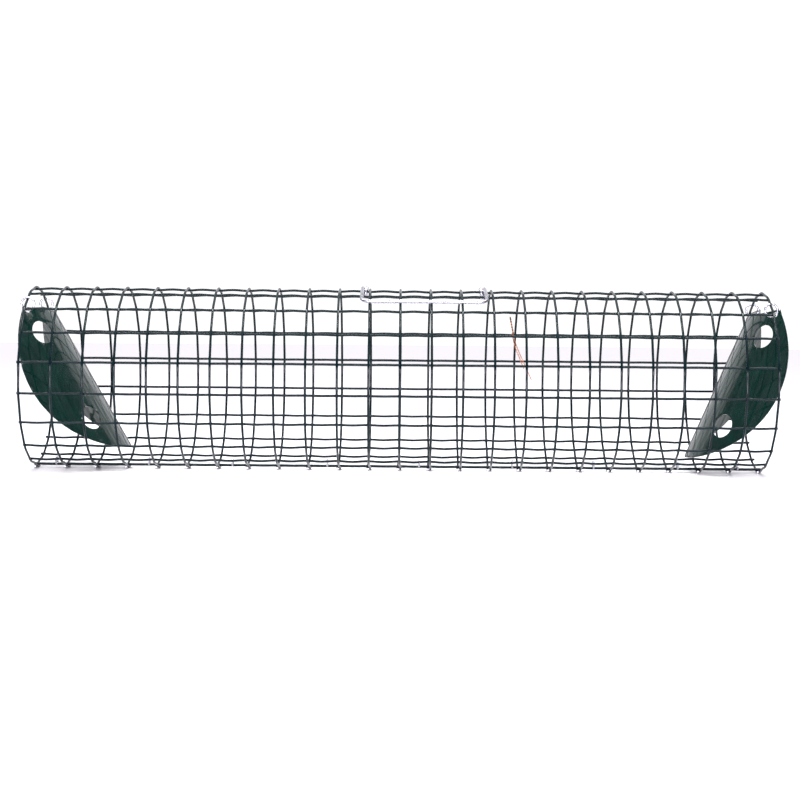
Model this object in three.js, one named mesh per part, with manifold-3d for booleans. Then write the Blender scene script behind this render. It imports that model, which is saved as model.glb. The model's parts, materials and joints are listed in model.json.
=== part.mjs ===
// Live catch trap: a welded-mesh tunnel lying on its side, with a one-way flap door hung inside each end,
// a bail handle on top, clips closing the seam underneath and a bait wire tied to the back wall.
// Millimetres. +X runs along the tunnel, -Y is the side the handle rests on, +Z is up.
import * as THREE from "three";
import { mergeVertices } from "three/addons/utils/BufferGeometryUtils.js";
import Module from "manifold-3d";

// ---------------------------------------------------------------- driving dimensions
const MESH_PITCH = 25.4; // centre to centre of the welded wires, both ways
const SQUARES_LONG = 24;
const SQUARES_ROUND = 18;
const MESH_WIRE = 1.6; // coated wire diameter
const GAP = 0.3; // air between pieces that touch in the real trap
const SEAM_AIR = 0.4; // between the two line wires that meet at the seam

const SEAM_FLAT_ANGLE = 13; // degrees either side of the seam where the sheet stays straight
const TAIL_FLAT = 2; // level length at the snipped end of a hoop
const TAIL_REACH = 4.5; // how far a hoop's end runs past the seam
const TAIL_DROP = 0.9; // how far that end sits below the seam

const CLIP_WIRE = 1.6;
const CLIP_RISE = 0.6; // clip centre above the seam wires
const CLIP_MOUTH = 16; // half angle of the clip's open mouth, degrees
const CLIP_PLACES = [0.66, 3.73, 6.5, 9.65, -11.3, -8.2, -5.5, -2.7]; // in squares from the left or right end

const DOOR_SHEET = 1.0;
const DOOR_SHARE = 0.4677; // outer radius of the rolled sheet, in heights of the tunnel under the rings
// The flat oval blank a door is cut from, in radii of its roll.
const BLANK_HALF_LENGTH = 1.22;
const BLANK_HALF_WIDTH = 1.14;
const BLANK_CREST_TOP = 0.828; // blank centre below the top of the crest line
const BLANK_TOP_CORNER = 0.72; // half width where the trimmed top meets the oval
const BLANK_TOP_FALL = 0.164; // how far the trimmed corners stand above the crest top
const BLANK_HOLE = 0.3125; // diameter of the four vent holes
const BLANK_HOLE_ACROSS = 0.58; // vent holes either side of the crest line
const BLANK_HOLE_ALONG = 0.63; // and above and below the blank's centre
const BLANK_HOLE_DROP = 0.025; // all four this much lower
const BLANK_HINGE_SPREAD = 0.64; // hinge hole from the crest line, along the sheet
const HINGE_HOLE_RISE = 4.5; // above the crest top
const HINGE_HOLE_WIRES = 2.45; // diameter of a hinge hole, in ring wires
const LEFT_FOOT_RISE = 13.8; // foot of the left door's crest line above the lowest line wires
const RIGHT_FOOT_RISE = 5.85;

const RING_WIRE = 1.8;
const RING_RADIUS = 5.5; // centreline
const RING_MOUTH = 9; // half angle of the gap between the ring's ends, degrees
const RING_MOUTH_AT = 140; // degrees round from the door hole, on the outer side
const LEFT_RING_TILT = 10; // degrees, foot inwards
const RIGHT_RING_TILT = -3;

const HANDLE_WIRE = 3.2;
const HANDLE_SQUARES = 4; // legs this many squares apart
const HANDLE_SLACK = 1.0; // and this much more
const HANDLE_REACH = 1.524; // pivot to grip centreline, in squares
const HANDLE_CORNER = 7; // centreline radius at the grip's ends
const EYE_RADIUS = 3.8; // centreline of the coiled eyes
const EYE_AIR = 0.4; // between the two ends of an eye's turn

const BAIT_WIRE = 0.8;
const BAIT_HOOP = 16; // tied beside this hoop, counted from the left end
const BAIT_LINE = 6; // on this line wire, counted from the back of the seam
const BAIT_UP = 16;
const BAIT_SHORT_TAIL = [8, -26]; // end of the tail, along X and Z from the tie
const BAIT_LONG_TAIL = [14, -35];

const WIRE_SIDES = 6;
const HOOP_STEPS = 34;
const HANDLE_SIDES = 8;

// ---------------------------------------------------------------- derived sizes
const rad = THREE.MathUtils.degToRad;
const TUNNEL_LENGTH = SQUARES_LONG * MESH_PITCH;
const SEAM_SPACING = MESH_WIRE + SEAM_AIR;
const HOOP_RADIUS = (SQUARES_ROUND * MESH_PITCH + SEAM_SPACING) / (2 * Math.PI);
const LINE_RADIUS = HOOP_RADIUS - MESH_WIRE - GAP;
const SEAM_DEPTH = HOOP_RADIUS / Math.cos(rad(SEAM_FLAT_ANGLE)); // hoop centre below the axis at the seam
const LEFT_END = -TUNNEL_LENGTH / 2;

// Circumradius of a regular polygon with the area of a round wire.
function polygonRadius(diameter, sides) {
  const unitArea = (sides / 2) * Math.sin((2 * Math.PI) / sides);
  return (diameter / 2) * Math.sqrt(Math.PI / unitArea);
}

const MESH_RADIUS = polygonRadius(MESH_WIRE, WIRE_SIDES);
const CLIP_HALF = polygonRadius(CLIP_WIRE, WIRE_SIDES);
const CLIP_RADIUS = Math.hypot(SEAM_SPACING / 2, CLIP_RISE) + MESH_RADIUS + GAP + CLIP_HALF;
const DOOR_ROLL = (2 * LINE_RADIUS - RING_RADIUS) * DOOR_SHARE; // outer radius of the rolled sheet
const HINGE_HOLE = RING_WIRE * HINGE_HOLE_WIRES;
const HANDLE_RADIUS = polygonRadius(HANDLE_WIRE, HANDLE_SIDES);
const EYE_PITCH = HANDLE_WIRE + EYE_AIR;
// The left eye stands just outside the hoop beside the middle one.
const HANDLE_LEFT = -(MESH_PITCH + MESH_RADIUS + GAP + HANDLE_RADIUS + EYE_PITCH);
const HANDLE_RIGHT = HANDLE_LEFT + HANDLE_SQUARES * MESH_PITCH + HANDLE_SLACK;

// ---------------------------------------------------------------- finishes
const greenCoat = { color: 0x17332f, roughness: 0.3, metalness: 0.1 };
const galvanised = { color: 0xc4c8ce, roughness: 0.35, metalness: 0.9 };
const copper = { color: 0xb8703c, roughness: 0.4, metalness: 0.9 };

// ---------------------------------------------------------------- helpers
const wasm = await Module();
wasm.setup();

const trap = new THREE.Group();

function add(name, geometry, finish, parent = trap) {
  const mesh = new THREE.Mesh(geometry, new THREE.MeshStandardMaterial(finish));
  mesh.name = name;
  parent.add(mesh);
  return mesh;
}

// A wire's centreline through given points, sampled exactly at those points.
class PointPath extends THREE.Curve {
  constructor(points) {
    super();
    this.points = points;
  }

  getPoint(t) {
    const last = this.points.length - 1;
    const at = Math.min(Math.max(t, 0), 1) * last;
    const before = Math.min(Math.floor(at + 1e-6), last - 1);
    return this.points[before].clone().lerp(this.points[before + 1], at - before);
  }

  getPointAt(u) {
    return this.getPoint(u);
  }

  getTangentAt(u) {
    const last = this.points.length - 1;
    const near = Math.round(Math.min(Math.max(u, 0), 1) * last);
    const tangent = new THREE.Vector3();
    if (near > 0) tangent.add(this.points[near].clone().sub(this.points[near - 1]).normalize());
    if (near < last) tangent.add(this.points[near + 1].clone().sub(this.points[near]).normalize());
    return tangent.normalize();
  }
}

// A regular polygon section with a flat side towards +X.
function wireSection(diameter, sides) {
  const radius = polygonRadius(diameter, sides);
  const corners = [];
  for (let i = 0; i < sides; i++) {
    const angle = ((i + 0.5) * 2 * Math.PI) / sides;
    corners.push(new THREE.Vector2(radius * Math.cos(angle), radius * Math.sin(angle)));
  }
  return new THREE.Shape(corners);
}

function bentWire(points, diameter, sides = WIRE_SIDES) {
  return new THREE.ExtrudeGeometry(wireSection(diameter, sides), {
    steps: points.length - 1,
    extrudePath: new PointPath(points),
    bevelEnabled: false,
  });
}

// Points on a circle about centre, from one angle to another, in the plane of two unit vectors.
function arcPoints(centre, radius, from, to, steps, across, up) {
  const points = [];
  for (let i = 0; i <= steps; i++) {
    const angle = rad(from + ((to - from) * i) / steps);
    const offset = across.clone().multiplyScalar(radius * Math.cos(angle));
    points.push(centre.clone().add(offset).addScaledVector(up, radius * Math.sin(angle)));
  }
  return points;
}

function solidOf(geometry) {
  const bare = new THREE.BufferGeometry();
  const loose = geometry.index ? geometry.toNonIndexed() : geometry;
  bare.setAttribute("position", loose.getAttribute("position"));
  const merged = mergeVertices(bare, 1e-4);
  return new wasm.Manifold(
    new wasm.Mesh({
      numProp: 3,
      vertProperties: merged.attributes.position.array,
      triVerts: new Uint32Array(merged.index.array),
    }),
  );
}

function geometryOf(solid) {
  const mesh = solid.getMesh();
  const geometry = new THREE.BufferGeometry();
  geometry.setAttribute("position", new THREE.BufferAttribute(mesh.vertProperties, 3));
  geometry.setIndex(new THREE.BufferAttribute(mesh.triVerts, 1));
  geometry.computeVertexNormals();
  return geometry;
}

// ---------------------------------------------------------------- hoops
// One turn of wire round the tunnel. Its two ends pass side by side under the seam and are its feet.
function hoopPoints() {
  const seat = -SEAM_DEPTH;
  const slope = Math.tan(rad(SEAM_FLAT_ANGLE));
  const level = -(SEAM_DEPTH + TAIL_DROP);
  const halfSeam = SEAM_SPACING / 2;
  const flat = [
    [-TAIL_REACH, level],
    [TAIL_FLAT / 2 - TAIL_REACH, level],
    [TAIL_FLAT - TAIL_REACH, level],
    [halfSeam, seat],
  ];
  const start = flat.map(([y, z]) => new THREE.Vector3(0, y, z));
  const turn = [];
  for (let i = 0; i <= HOOP_STEPS; i++) {
    const span = 360 - 2 * SEAM_FLAT_ANGLE;
    const angle = rad(SEAM_FLAT_ANGLE + (span * i) / HOOP_STEPS);
    turn.push(new THREE.Vector3(0, HOOP_RADIUS * Math.sin(angle), -HOOP_RADIUS * Math.cos(angle)));
  }
  const end = flat.map(([y, z]) => new THREE.Vector3(0, -y, z)).reverse();
  const points = [...start, ...turn, ...end];
  const sideStep = MESH_WIRE + GAP;
  points.forEach((point, i) => {
    point.x = sideStep * (i / (points.length - 1) - 0.5);
  });
  return points;
}

function addHoops() {
  for (let i = 0; i <= SQUARES_LONG; i++) {
    const hoop = add(`hoop_${String(i + 1).padStart(2, "0")}`, bentWire(hoopPoints(), MESH_WIRE), greenCoat);
    hoop.position.x = LEFT_END + i * MESH_PITCH;
  }
}

// ---------------------------------------------------------------- line wires
// Where line wire i crosses the tunnel's section, counted round from the back of the seam.
function linePlace(i) {
  const atSeam = i === 0 || i === SQUARES_ROUND;
  const angle = (SEAM_SPACING / 2 + i * MESH_PITCH) / HOOP_RADIUS;
  const depth = SEAM_DEPTH - (HOOP_RADIUS - LINE_RADIUS);
  const y = atSeam ? ((i === 0 ? 1 : -1) * SEAM_SPACING) / 2 : LINE_RADIUS * Math.sin(angle);
  const z = atSeam ? -depth : -LINE_RADIUS * Math.cos(angle);
  return { y, z, angle };
}

function addLineWires() {
  const sideStep = MESH_WIRE + GAP;
  const length = TUNNEL_LENGTH + sideStep + MESH_WIRE;
  for (let i = 0; i <= SQUARES_ROUND; i++) {
    const place = linePlace(i);
    const rod = new THREE.CylinderGeometry(MESH_RADIUS, MESH_RADIUS, length, WIRE_SIDES);
    rod.rotateY(Math.PI / WIRE_SIDES); // a flat side towards the hoops
    rod.rotateZ(Math.PI / 2);
    rod.rotateX(place.angle);
    const wire = add(`line_wire_${String(i + 1).padStart(2, "0")}`, rod, greenCoat);
    wire.position.set(0, place.y, place.z);
  }
}

// ---------------------------------------------------------------- seam clips
function addSeamClips() {
  const seamZ = linePlace(0).z;
  const centre = new THREE.Vector3(0, 0, seamZ + CLIP_RISE);
  const across = new THREE.Vector3(0, 1, 0);
  const up = new THREE.Vector3(0, 0, 1);
  const points = arcPoints(centre, CLIP_RADIUS, 90 + CLIP_MOUTH, 450 - CLIP_MOUTH, 12, across, up);
  CLIP_PLACES.forEach((square, i) => {
    const clip = add(`seam_clip_${i + 1}`, bentWire(points, CLIP_WIRE), galvanised);
    clip.position.x = (square < 0 ? -LEFT_END : LEFT_END) + square * MESH_PITCH;
  });
}

// ---------------------------------------------------------------- doors and their rings
// A door is drawn with its crest line along -Z from the origin and its hollow side towards -X.
// The real sheet is cut flat and rolled, so widths are measured round the roll.
const HINGE_ANGLE = BLANK_HINGE_SPREAD; // a spread in radii of the roll is an angle in radians
const HINGE_Y = (DOOR_ROLL - DOOR_SHEET / 2) * Math.sin(HINGE_ANGLE);
const HINGE_X = (DOOR_ROLL - DOOR_SHEET / 2) * Math.cos(HINGE_ANGLE) - DOOR_ROLL;

function rolledY(width) {
  return DOOR_ROLL * Math.sin(width);
}

function doorOutline() {
  const startAngle = Math.asin(BLANK_TOP_CORNER / BLANK_HALF_WIDTH);
  const half = [];
  const topSteps = 6;
  for (let i = 0; i < topSteps; i++) {
    const width = (BLANK_TOP_CORNER * i) / topSteps;
    half.push([rolledY(width), DOOR_ROLL * BLANK_TOP_FALL * (i / topSteps) ** 2]);
  }
  const ovalSteps = 22;
  for (let i = 0; i <= ovalSteps; i++) {
    const angle = startAngle + ((Math.PI - startAngle) * i) / ovalSteps;
    const z = BLANK_HALF_LENGTH * Math.cos(angle) - BLANK_CREST_TOP;
    half.push([rolledY(BLANK_HALF_WIDTH * Math.sin(angle)), DOOR_ROLL * z]);
  }
  const other = half.slice(1, -1).map(([y, z]) => [-y, z]);
  return [...half, ...other.reverse()].map(([y, z]) => new THREE.Vector2(y, z));
}

// A cutter standing square to the sheet, the given angle round the roll from the crest line.
function holeCutter(diameter, angle, z, sides) {
  const cutter = new THREE.CylinderGeometry(diameter / 2, diameter / 2, 12, sides);
  cutter.rotateZ(Math.PI / 2);
  cutter.translate(DOOR_ROLL, 0, z);
  cutter.rotateZ(angle);
  cutter.translate(-DOOR_ROLL, 0, 0);
  return solidOf(cutter);
}

function doorGeometry() {
  const rollSteps = 26;
  const rollReach = 1.05 * BLANK_HALF_WIDTH;
  const outer = [];
  const inner = [];
  for (let i = 0; i <= rollSteps; i++) {
    const angle = rollReach * ((2 * i) / rollSteps - 1);
    const unit = new THREE.Vector2(Math.cos(angle), Math.sin(angle));
    const axis = new THREE.Vector2(-DOOR_ROLL, 0);
    outer.push(axis.clone().addScaledVector(unit, DOOR_ROLL));
    inner.push(axis.clone().addScaledVector(unit, DOOR_ROLL - DOOR_SHEET));
  }
  const section = new THREE.Shape([...outer, ...inner.reverse()]);
  const length = DOOR_ROLL * (2 * BLANK_HALF_LENGTH + BLANK_TOP_FALL);
  const rolled = new THREE.ExtrudeGeometry(section, { depth: length, bevelEnabled: false });
  rolled.translate(0, 0, DOOR_ROLL * BLANK_TOP_FALL + 1 - length);
  const stamp = new THREE.ExtrudeGeometry(new THREE.Shape(doorOutline()), {
    depth: 3 * DOOR_ROLL,
    bevelEnabled: false,
  });
  stamp.rotateX(Math.PI / 2);
  stamp.rotateZ(Math.PI / 2);
  stamp.translate(-2 * DOOR_ROLL, 0, 0);
  let sheet = solidOf(rolled).intersect(solidOf(stamp));
  for (const side of [-1, 1]) {
    for (const end of [-1, 1]) {
      const z = DOOR_ROLL * (end * BLANK_HOLE_ALONG - BLANK_CREST_TOP - BLANK_HOLE_DROP);
      sheet = sheet.subtract(holeCutter(DOOR_ROLL * BLANK_HOLE, side * BLANK_HOLE_ACROSS, z, 20));
    }
    sheet = sheet.subtract(holeCutter(HINGE_HOLE, side * HINGE_ANGLE, HINGE_HOLE_RISE, 12));
  }
  return geometryOf(sheet);
}

// A door and its two rings, in a group whose origin is the end of the tunnel's axis and whose +X runs
// into the tunnel. front is the sign of the group's Y on the trap's front side. The door leans, foot
// inwards, until its crest line stands footRise above the line wires.
function doorSet(side, front, footRise, tilt) {
  const end = new THREE.Group();
  const hoopZ = Math.sqrt(HOOP_RADIUS ** 2 - HINGE_Y ** 2);
  const hoopHalf = MESH_RADIUS / (hoopZ / HOOP_RADIUS);
  const hang = RING_RADIUS - polygonRadius(RING_WIRE, WIRE_SIDES) - hoopHalf - GAP;
  const down = new THREE.Vector3(Math.sin(rad(tilt)), 0, -Math.cos(rad(tilt)));
  const out = new THREE.Vector3(down.z, 0, -down.x);
  const ringCentre = new THREE.Vector3(0, 0, hoopZ).addScaledVector(down, hang);
  const hole = ringCentre.clone().addScaledVector(down, RING_RADIUS);
  const ringPath = arcPoints(
    new THREE.Vector3(),
    RING_RADIUS,
    RING_MOUTH_AT + RING_MOUTH,
    RING_MOUTH_AT + 360 - RING_MOUTH,
    18,
    down,
    out,
  );
  for (const [place, sign] of [["front", front], ["back", -front]]) {
    const ring = add(`${side}_${place}_hinge_ring`, bentWire(ringPath, RING_WIRE), galvanised, end);
    ring.position.set(ringCentre.x, sign * HINGE_Y, ringCentre.z);
  }
  const footDrop = DOOR_ROLL * (BLANK_HALF_LENGTH + BLANK_CREST_TOP) + HINGE_HOLE_RISE;
  const toFoot = new THREE.Vector2(-HINGE_X, footDrop);
  const drop = hole.z + LINE_RADIUS - footRise;
  const door = add(`${side}_door`, doorGeometry(), greenCoat, end);
  door.rotation.y = Math.atan2(toFoot.x, toFoot.y) - Math.acos(drop / toFoot.length());
  const holeFromCrest = new THREE.Vector3(HINGE_X, 0, HINGE_HOLE_RISE).applyEuler(door.rotation);
  door.position.copy(hole).sub(holeFromCrest);
  return end;
}

function addDoors() {
  const left = doorSet("left", -1, LEFT_FOOT_RISE, LEFT_RING_TILT);
  left.position.x = LEFT_END;
  const right = doorSet("right", 1, RIGHT_FOOT_RISE, RIGHT_RING_TILT);
  right.position.x = -LEFT_END;
  right.rotation.z = Math.PI; // the same set, facing the other way
  trap.add(left, right);
}

// ---------------------------------------------------------------- carry handle
// A bail that pivots on the top line wire and rests on the hoops of the front side.
function handlePoints() {
  const topWire = Math.round(SQUARES_ROUND / 2);
  const pivot = linePlace(topWire);
  const restRadius = HOOP_RADIUS + MESH_RADIUS + GAP + HANDLE_RADIUS;
  const reach = HANDLE_REACH * MESH_PITCH;
  // Where the grip lies: its reach from the pivot and touching the hoops.
  const gripZ = (pivot.z ** 2 + restRadius ** 2 - reach ** 2) / (2 * pivot.z);
  const grip = new THREE.Vector2(-Math.sqrt(restRadius ** 2 - gripZ ** 2), gripZ);
  // The leg clears the next line wire down, so it is bowed over it.
  const wire = linePlace(topWire + 1);
  const clear = MESH_RADIUS + GAP + HANDLE_RADIUS;
  const over = new THREE.Vector2(wire.y, wire.z);
  over.addScaledVector(new THREE.Vector2(wire.y, wire.z).normalize(), clear);
  const eyeEnd = 12; // degrees past the top where the leg leaves the eye
  const points = [];
  const eyeSteps = 15;
  for (let i = 0; i <= eyeSteps; i++) {
    const share = i / eyeSteps;
    const angle = rad(eyeEnd - 360 * (1 - share));
    const x = HANDLE_LEFT + EYE_PITCH * (1 - share);
    const y = pivot.y - EYE_RADIUS * Math.sin(angle);
    points.push(new THREE.Vector3(x, y, pivot.z + EYE_RADIUS * Math.cos(angle)));
  }
  points.push(new THREE.Vector3(HANDLE_LEFT, over.x, over.y));
  const legWay = grip.clone().sub(over).normalize();
  const cornerStart = grip.clone().addScaledVector(legWay, -HANDLE_CORNER);
  const centre = new THREE.Vector3(HANDLE_LEFT + HANDLE_CORNER, cornerStart.x, cornerStart.y);
  const along = new THREE.Vector3(-1, 0, 0);
  const outward = new THREE.Vector3(0, legWay.x, legWay.y);
  points.push(...arcPoints(centre, HANDLE_CORNER, 0, 90, 5, along, outward));
  const ends = HANDLE_LEFT + HANDLE_RIGHT;
  const mirrored = points.map((p) => new THREE.Vector3(ends - p.x, p.y, p.z));
  return [...points, ...mirrored.reverse()];
}

function addHandle() {
  add("carry_handle", bentWire(handlePoints(), HANDLE_WIRE, HANDLE_SIDES), galvanised);
}

// ---------------------------------------------------------------- bait wire
// One soft wire bent double: the fold stands up beside the back wall, both ends hang down inside.
function addBaitWire() {
  const line = linePlace(BAIT_LINE);
  const strand = polygonRadius(BAIT_WIRE, WIRE_SIDES);
  const coil = MESH_RADIUS + strand + GAP;
  const x = LEFT_END + BAIT_HOOP * MESH_PITCH - MESH_WIRE - 2 * coil;
  const inside = line.y - coil;
  const beside = 2 * strand + GAP;
  const at = (dx, dy, dz) => new THREE.Vector3(x + dx, inside + dy, line.z + dz);
  const points = [
    at(BAIT_SHORT_TAIL[0], -3, BAIT_SHORT_TAIL[1]),
    at(BAIT_SHORT_TAIL[0] * 0.55, -3.5, BAIT_SHORT_TAIL[1] * 0.6),
    at(1.2, -1.5, -6),
  ];
  const turns = 12;
  for (let i = 0; i <= turns; i++) {
    const angle = rad(-30 + (360 * i) / turns);
    const away = -coil * Math.cos(angle);
    points.push(new THREE.Vector3(x + (beside * i) / turns, line.y + away, line.z + coil * Math.sin(angle)));
  }
  points.push(at(beside, -0.6, coil + 1.2));
  points.push(at(beside + 0.4, -1.2, BAIT_UP * 0.55));
  points.push(at(beside + 0.6, -1.6, BAIT_UP - beside / 2));
  points.push(at(beside * 1.5 + 0.6, -1.8, BAIT_UP));
  points.push(at(beside * 2 + 0.6, -2, BAIT_UP - beside / 2));
  points.push(at(beside * 2 + 0.6, -2.4, BAIT_UP * 0.5));
  points.push(at(beside * 2 + 0.6, -3, 0));
  points.push(at(BAIT_LONG_TAIL[0] * 0.5, -4.2, BAIT_LONG_TAIL[1] * 0.45));
  points.push(at(BAIT_LONG_TAIL[0], -3, BAIT_LONG_TAIL[1]));
  add("bait_wire", bentWire(points, BAIT_WIRE), copper);
}

// ---------------------------------------------------------------- the whole trap
addHoops();
addLineWires();
addSeamClips();
addDoors();
addHandle();
addBaitWire();

// The origin is the middle of the underside.
const box = new THREE.Box3().setFromObject(trap, true);
const centre = box.getCenter(new THREE.Vector3());
trap.position.set(-centre.x, -centre.y, -box.min.z);

const liveCatchTrap = new THREE.Group();
liveCatchTrap.add(trap);

export default liveCatchTrap;
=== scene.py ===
"""A welded-mesh tunnel trap with a flap door in each end, built around its packed frame.

Metres, +Z up, +X along the tunnel.
"""

import json
import math

import bmesh
import bpy
from mathutils import Matrix, Vector, noise


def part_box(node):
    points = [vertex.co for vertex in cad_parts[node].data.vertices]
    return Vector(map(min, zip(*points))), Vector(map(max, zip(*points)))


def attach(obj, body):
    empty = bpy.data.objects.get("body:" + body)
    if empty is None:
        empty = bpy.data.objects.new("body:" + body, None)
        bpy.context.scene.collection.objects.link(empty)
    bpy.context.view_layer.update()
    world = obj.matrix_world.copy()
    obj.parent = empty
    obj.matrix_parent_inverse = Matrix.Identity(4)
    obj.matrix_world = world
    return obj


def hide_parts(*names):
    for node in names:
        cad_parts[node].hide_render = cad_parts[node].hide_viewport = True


bl_info = {
    "name": "Tunnel Live Trap",
    "version": (1, 0, 0),
    "blender": (4, 5, 0),
    "location": "View3D > Sidebar > Trap",
    "description": "Builds the coated wire, doors and fittings of a tunnel trap around its frame",
    "category": "Object",
}

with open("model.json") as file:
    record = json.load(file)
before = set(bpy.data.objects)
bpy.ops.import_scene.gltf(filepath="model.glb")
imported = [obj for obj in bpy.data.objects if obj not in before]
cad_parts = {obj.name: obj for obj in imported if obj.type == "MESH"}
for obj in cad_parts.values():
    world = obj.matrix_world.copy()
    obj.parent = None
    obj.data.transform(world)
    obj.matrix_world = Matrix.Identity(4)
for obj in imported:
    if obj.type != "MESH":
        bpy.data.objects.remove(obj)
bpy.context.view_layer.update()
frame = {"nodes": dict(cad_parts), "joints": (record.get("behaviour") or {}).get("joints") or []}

STEP_REACH = 0.6  # radians either side of the seam over which a hoop's ends step apart
REST_GAP = 0.0003  # between the handle and the wires that it rests on
FLOOR_GAP = 0.0001  # between the lowest wire and the floor
BAIT_LINE = 6  # the line wire that the bait wire is tied to
DARK_TIP = 0.005  # length of the bait wire's tarnished tip
DUST_SCALE = 2600.0  # specks to a metre
PEEL_SCALE = 900.0
PATCH_SCALE = 55.0
CRYSTAL_SCALE = 700.0
STREAKS = (330.0, 9.0, 1.0)  # fine across a door's sheet, long down it
SUN_ANGLE = 100.0  # degrees; wide, so that its shadows are faint


# ------------------------------------------------------------------ places taken from the frame
def middle(node):
    low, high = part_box(node)
    return (low + high) / 2


def nodes_named(start):
    return sorted(n for n in frame["nodes"] if n.startswith(start))


def joint(name):
    return next(j for j in frame["joints"] if j["name"] == name)


HOOPS = nodes_named("hoop_")
LINES = nodes_named("line_wire_")
CLIPS = nodes_named("seam_clip_")
SQUARES_ROUND = len(LINES) - 1
PITCH = (middle(HOOPS[-1]).x - middle(HOOPS[0]).x) / (len(HOOPS) - 1)
TOP_WIRE = middle(LINES[SQUARES_ROUND // 2])
SEAM_WIRE = middle(LINES[0])
SEAM_SPACING = SEAM_WIRE.y - middle(LINES[-1]).y
HOOP_RADIUS = (SQUARES_ROUND * PITCH + SEAM_SPACING) / math.tau
WIDEST = max(middle(n).y for n in LINES) - min(middle(n).y for n in LINES)
WIDEST_ANGLE = (SEAM_SPACING / 2 + SQUARES_ROUND // 4 * PITCH) / HOOP_RADIUS
LINE_RADIUS_CAD = WIDEST / 2 / math.sin(WIDEST_ANGLE)
AXIS = Vector((0.0, TOP_WIRE.y, TOP_WIRE.z - LINE_RADIUS_CAD))
LEFT_END = middle(HOOPS[0]).x
RIGHT_END = middle(HOOPS[-1]).x


# ------------------------------------------------------------------ sizes and colours a user would change
def length(name, default, description):
    return bpy.props.FloatProperty(
        name=name, default=default, description=description, unit="LENGTH", precision=5
    )


def colour(name, default, description):
    return bpy.props.FloatVectorProperty(
        name=name, default=default, description=description, subtype="COLOR", size=3, min=0.0, max=1.0
    )


def degrees(name, default, description):
    return bpy.props.FloatProperty(
        name=name, default=math.radians(default), description=description, subtype="ANGLE"
    )


def amount(name, default, description):
    return bpy.props.FloatProperty(name=name, default=default, description=description)


class TrapMeshSettings(bpy.types.PropertyGroup):
    """Sizes of the welded mesh."""

    wire: length("Wire", 0.00205, "Diameter of the coated wire")
    sink: length("Weld Sink", 0.00015, "How far the two wires melt into each other at a weld")
    radius: length("Rolled Radius", 0.0737, "Centreline of a hoop at its welds")
    bow: length("Line Bow", 0.0007, "How far a line wire stands out between two welds")
    flat: length("Hoop Flat", 0.0009, "How far a hoop pulls in between two welds")
    creep: length("Creep", 0.0009, "How far the middle hoops stand towards the right end")
    wander: length("Wander", 0.00015, "Unevenness of the wires along their length")
    seam_flat: degrees("Seam Flat", 13.0, "Angle either side of the seam where the sheet stays straight")
    seam_drop: length("Seam Drop", 0.0018, "How far the seam stands below the rolled section")
    belly: length("Belly", 0.0015, "How far the section sags at the bottom")
    tail: length("Tail", 0.0045, "How far a hoop's end runs past the seam")
    tail_drop: length("Tail Drop", 0.0002, "How far a hoop's end sits below the seam")
    tail_flat: length("Tail Flat", 0.002, "Level length of a hoop's end")
    nugget: length("Weld Nugget", 0.00118, "Half width of the coating pooled at a weld")


class TrapDoorSettings(bpy.types.PropertyGroup):
    """Sizes of the flap doors, measured on the flat blank before it is rolled."""

    sheet: length("Sheet", 0.001, "Thickness")
    roll: length("Roll Radius", 0.064, "Outer radius of the rolled sheet")
    half_length: length("Half Length", 0.078, "Half the length of the oval blank")
    half_width: length("Half Width", 0.073, "Half the width of the oval blank")
    crest_top: length("Crest Top", 0.053, "From the blank's centre up to the trimmed top")
    corner: length("Top Corner", 0.046, "Half width where the trimmed top meets the oval")
    fall: length("Top Fall", 0.0138, "How far the top's corners stand above its middle")
    vent: length("Vent Hole", 0.02, "Diameter of the four vent holes")
    vent_across: length("Vent Across", 0.0372, "Vent holes either side of the crest line, along the sheet")
    vent_along: length("Vent Along", 0.0403, "Vent holes above and below the blank's centre")
    vent_drop: length("Vent Drop", 0.0016, "How much lower all four vent holes sit")
    eyelet: length("Hinge Hole", 0.005, "Diameter of the two hinge holes")
    eyelet_spread: length("Hinge Spread", 0.0398, "Hinge hole from the crest, along the sheet")
    left_rise: length("Left Hinge Rise", 0.0073, "Hinge holes above the trimmed top's middle, left door")
    right_rise: length("Right Hinge Rise", 0.006, "Hinge holes above the trimmed top's middle, right door")
    left_lean: degrees("Left Lean", 29.7, "Lean of the left door, foot inwards")
    right_lean: degrees("Right Lean", 23.5, "Lean of the right door, foot inwards")
    left_hang: degrees("Left Hang", -8.0, "Left ring, from straight down towards the tunnel's middle")
    right_hang: degrees("Right Hang", -45.0, "Right ring, from straight down towards the tunnel's middle")
    widen: amount("Spread", 1.0, "How far the flanks are rolled round")
    dent: length("Dents", 0.0002, "Unevenness left by rolling the sheet")


class TrapFittingSettings(bpy.types.PropertyGroup):
    """Sizes of the galvanised fittings and the bait wire."""

    ring_wire: length("Ring Wire", 0.0019, "Wire of the door rings")
    ring: length("Ring Radius", 0.0052, "Centreline radius of a door ring")
    ring_mouth_at: degrees("Ring Mouth Place", 140.0, "Middle of a ring's gap, round from its hinge hole")
    ring_mouth: degrees("Ring Mouth", 7.0, "Half angle of a ring's gap")
    ring_turn: degrees("Ring Turn", 3.0, "How far a ring has turned on the hoop")
    clip_wire: length("Clip Wire", 0.0016, "Wire of the seam clips")
    clip: length("Clip Radius", 0.00315, "Centreline radius of a seam clip")
    last_clip: length("Last Clip", 0.0178, "Seam clip nearest the right end, in from the end hoop")
    handle_wire: length("Handle Wire", 0.0032, "Wire of the handle")
    handle_corner: length("Handle Corner", 0.007, "Centreline radius at the grip's ends")
    grip_out: length("Grip Out", 0.0032, "How much further down the side the grip rests than in the frame")
    eye: length("Eye Radius", 0.0038, "Centreline radius of the handle's eyes")
    eye_pitch: length("Eye Pitch", 0.0036, "Sideways step of one turn of an eye")
    bait_wire: length("Bait Wire", 0.0008, "Diameter of the soft bait wire")
    bait_twist: length("Twist Pitch", 0.0048, "Length of one twist of the doubled bait wire")


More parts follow.
